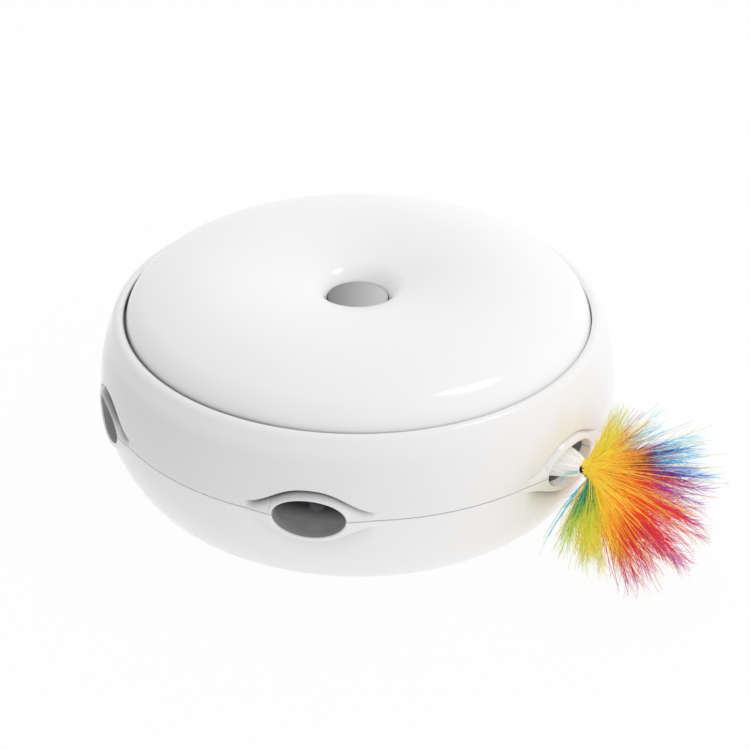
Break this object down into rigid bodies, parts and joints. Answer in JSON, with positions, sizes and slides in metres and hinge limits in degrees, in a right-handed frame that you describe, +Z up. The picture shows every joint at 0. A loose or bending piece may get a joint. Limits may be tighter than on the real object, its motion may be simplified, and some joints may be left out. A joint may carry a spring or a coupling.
{
  "type": "rotating feather toy",
  "caption": "Round motor-driven pet toy: a feather on a geared arm turns out through openings round a white housing.",
  "frame": {"origin": "on the housing's axis, at the height of the floor that the rubber feet stand on", "axes": "+Z up along the housing's axis, +X out through the opening that holds the feather at rest"},
  "size_m": [0.22, 0.173, 0.072],
  "materials": {
    "shell_white": "glossy white moulded plastic",
    "cover_white": "glossy white moulded plastic",
    "button_grey": "satin grey plastic",
    "pad_silicone": "translucent silicone",
    "foot_rubber": "matte black rubber",
    "door_white": "glossy white moulded plastic",
    "deck_grey": "matte dark grey plastic",
    "gear_plastic": "satin natural acetal",
    "screw_steel": "zinc-plated steel",
    "motor_steel": "plated steel can",
    "pinion_brass": "turned brass",
    "contact_nickel": "nickel-plated spring steel",
    "cell_wrap": "plain printed cell wrap",
    "board_green": "green circuit board",
    "switch_black": "black moulded plastic",
    "cable_grey": "flat cable sleeve",
    "quill_clear": "white flexible stem",
    "tie_black": "black band",
    "feather_soft": "dyed feathers in many colours"
  },
  "bodies": {
    "base": {"lower_shell": "shell_white", "upper_shell": "shell_white", "rubber_feet": "foot_rubber", "battery_door": "door_white", "door_screw": "screw_steel", "batteries": "cell_wrap", "battery_contacts": "contact_nickel", "gear_deck": "deck_grey", "deck_screws": "screw_steel", "drive_motor": "motor_steel", "gear_axles": "screw_steel", "centre_column": "deck_grey", "thrust_washer": "screw_steel", "sun_gear": "gear_plastic", "button_housing": "deck_grey", "circuit_board": "board_green", "tact_switch": "switch_black", "ribbon_cable": "cable_grey", "return_pad": "pad_silicone"},
    "cover": {"top_cover": "cover_white"},
    "button": {"mode_button": "button_grey"},
    "carousel": {"turntable": "deck_grey", "turntable_bush": "pinion_brass", "planet_axle": "screw_steel"},
    "feather_arm": {"planet_gear": "gear_plastic", "feather_holder": "switch_black", "feather_quill": "quill_clear", "quill_tie": "tie_black", "feather_tuft": "feather_soft"},
    "second_stage": {"second_gear": "gear_plastic"},
    "first_stage": {"first_gear": "gear_plastic"},
    "motor_shaft": {"motor_pinion": "pinion_brass"}
  },
  "joints": [
    {"name": "turntable_spin", "type": "hinge", "parent": "base", "child": "carousel", "pos_m": [0, 0, 0], "axis": [0, 0, 1], "continuous": true},
    {"name": "feather_turn", "type": "hinge", "parent": "carousel", "child": "feather_arm", "pos_m": [0.042, 0, 0], "axis": [0, 0, 1], "continuous": true, "deforming": ["feather_quill", "quill_tie", "feather_tuft"]},
    {"name": "second_gear_spin", "type": "hinge", "parent": "base", "child": "second_stage", "pos_m": [0.03562, -0.02226, 0], "axis": [0, 0, 1], "continuous": true},
    {"name": "first_gear_spin", "type": "hinge", "parent": "base", "child": "first_stage", "pos_m": [0.04713, -0.01807, 0], "axis": [0, 0, 1], "continuous": true},
    {"name": "motor_spin", "type": "hinge", "parent": "base", "child": "motor_shaft", "pos_m": [0.05288, -0.00725, 0], "axis": [0, 0, 1], "continuous": true},
    {"name": "button_press", "type": "slide", "parent": "base", "child": "button", "axis": [0, 0, -1], "range_m": [0, 0.0009], "stiffness_N_per_m": 400, "springref_m": -0.0006, "deforming": ["return_pad"]},
    {"name": "cover_lift", "type": "slide", "parent": "base", "child": "cover", "axis": [0, 0, 1], "range_m": [0, 0.03]}
  ],
  "couplings": [
    {"joint": "feather_turn", "follows": "turntable_spin", "ratio": 6},
    {"joint": "second_gear_spin", "follows": "turntable_spin", "ratio": -6},
    {"joint": "first_gear_spin", "follows": "turntable_spin", "ratio": 24},
    {"joint": "motor_spin", "follows": "turntable_spin", "ratio": -96}
  ]
}
